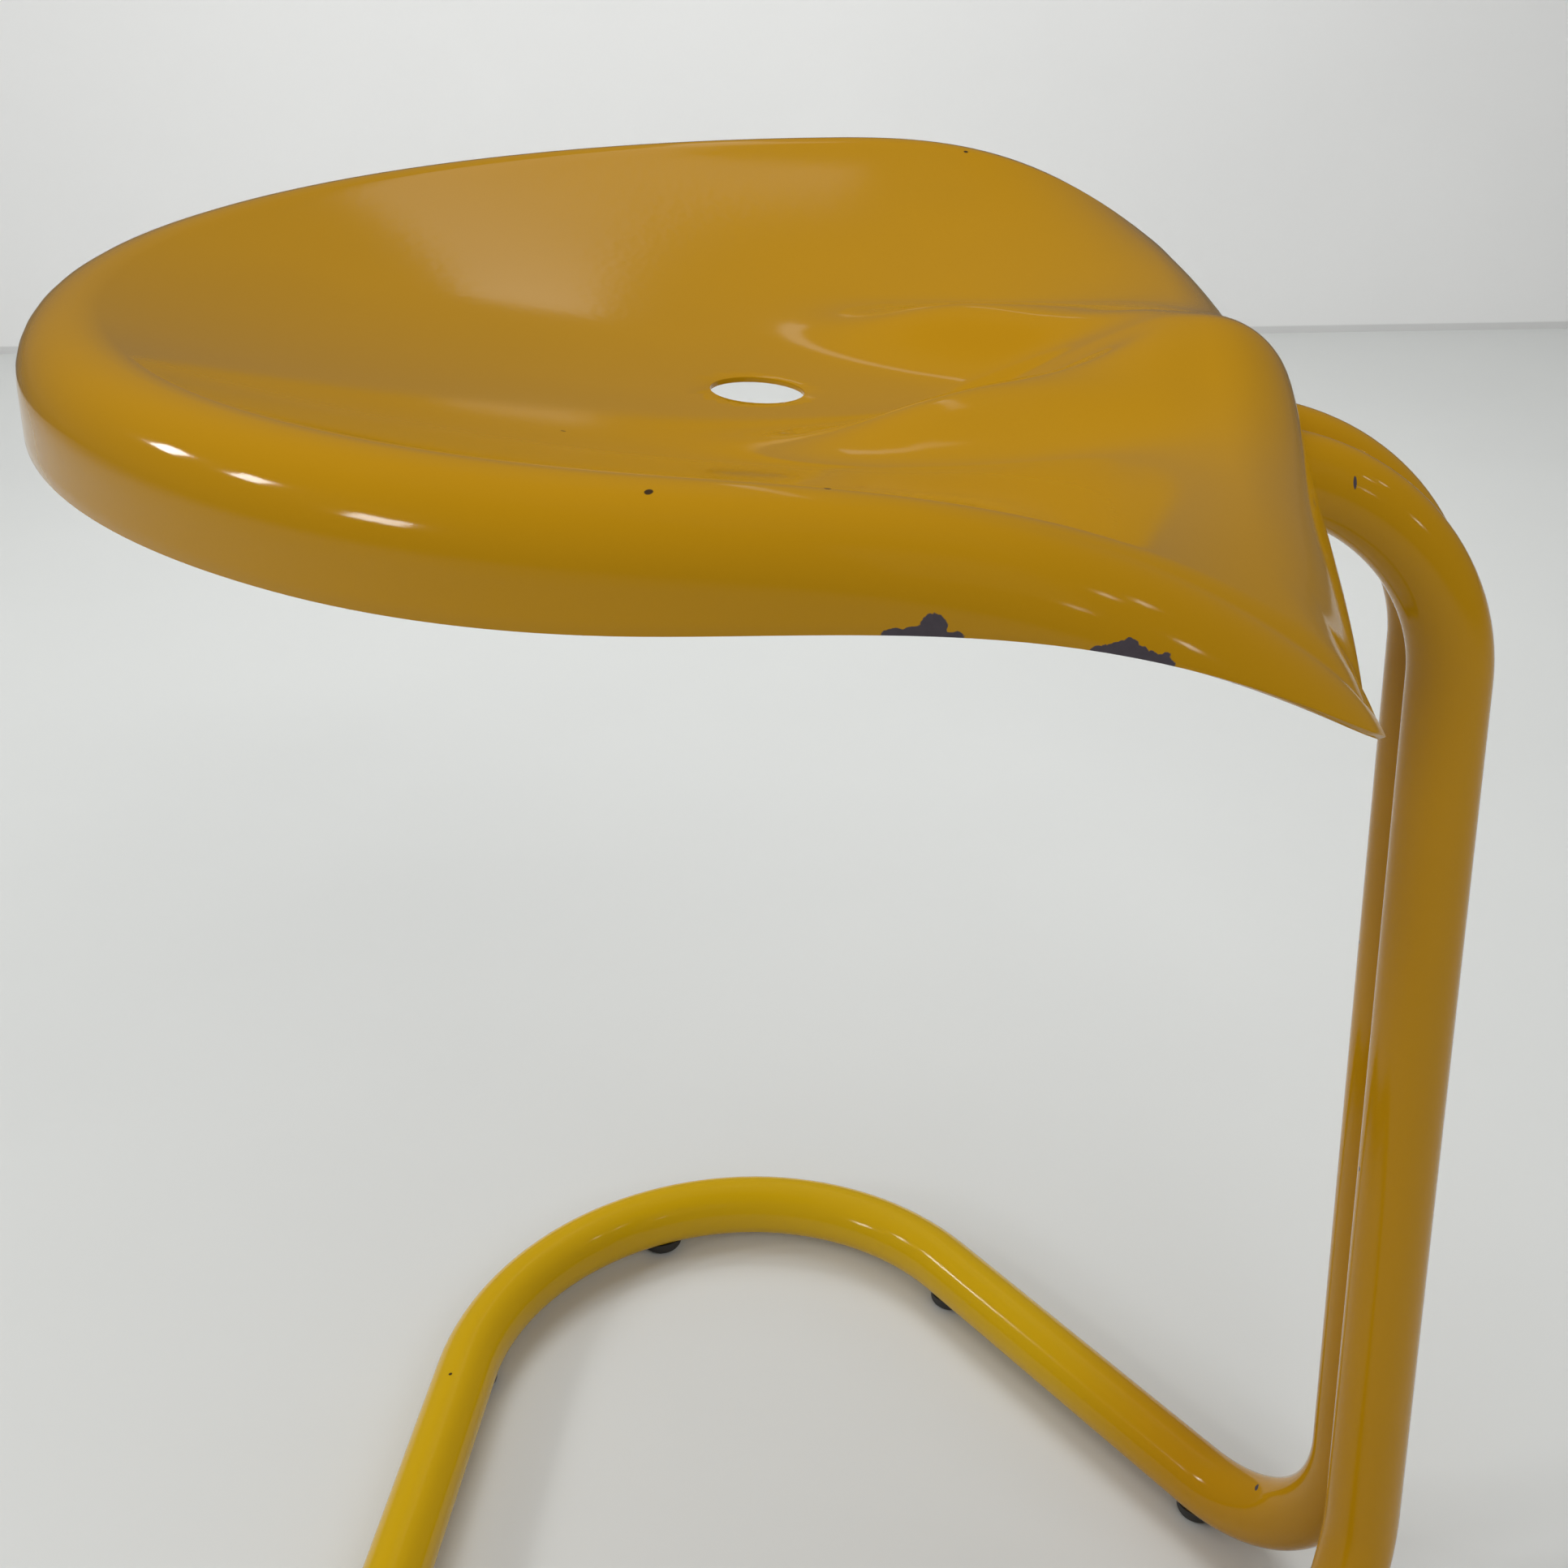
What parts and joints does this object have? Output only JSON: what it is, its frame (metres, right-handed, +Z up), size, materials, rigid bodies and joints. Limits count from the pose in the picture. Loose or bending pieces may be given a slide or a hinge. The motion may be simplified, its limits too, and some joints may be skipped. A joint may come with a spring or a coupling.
{
  "type": "tractor seat stool",
  "caption": "Low stool with a round pressed steel tractor seat, pommel front and rolled rim, welded to a cantilever frame bent from steel tube that runs round the floor as one loop.",
  "frame": {"origin": "on the floor, under the middle of the stool's overall box", "axes": "+Z up, -Y towards the front of the seat, +X to the sitter's left, in the plane of symmetry's normal"},
  "size_m": [0.471, 0.412, 0.5223],
  "materials": {
    "enamel": "gloss stove enamel, golden yellow",
    "black_plastic": "moulded, satin"
  },
  "bodies": {
    "root": {"seat_pan": "enamel", "frame_tube": "enamel", "weld_bead_left": "enamel", "weld_bead_right": "enamel", "end_plug_left": "black_plastic", "end_plug_right": "black_plastic", "glide_heel_left": "black_plastic", "glide_heel_right": "black_plastic", "glide_leg_left": "black_plastic", "glide_leg_right": "black_plastic", "glide_corner_left": "black_plastic", "glide_corner_right": "black_plastic", "glide_cross_left": "black_plastic", "glide_cross_right": "black_plastic"}
  },
  "joints": []
}
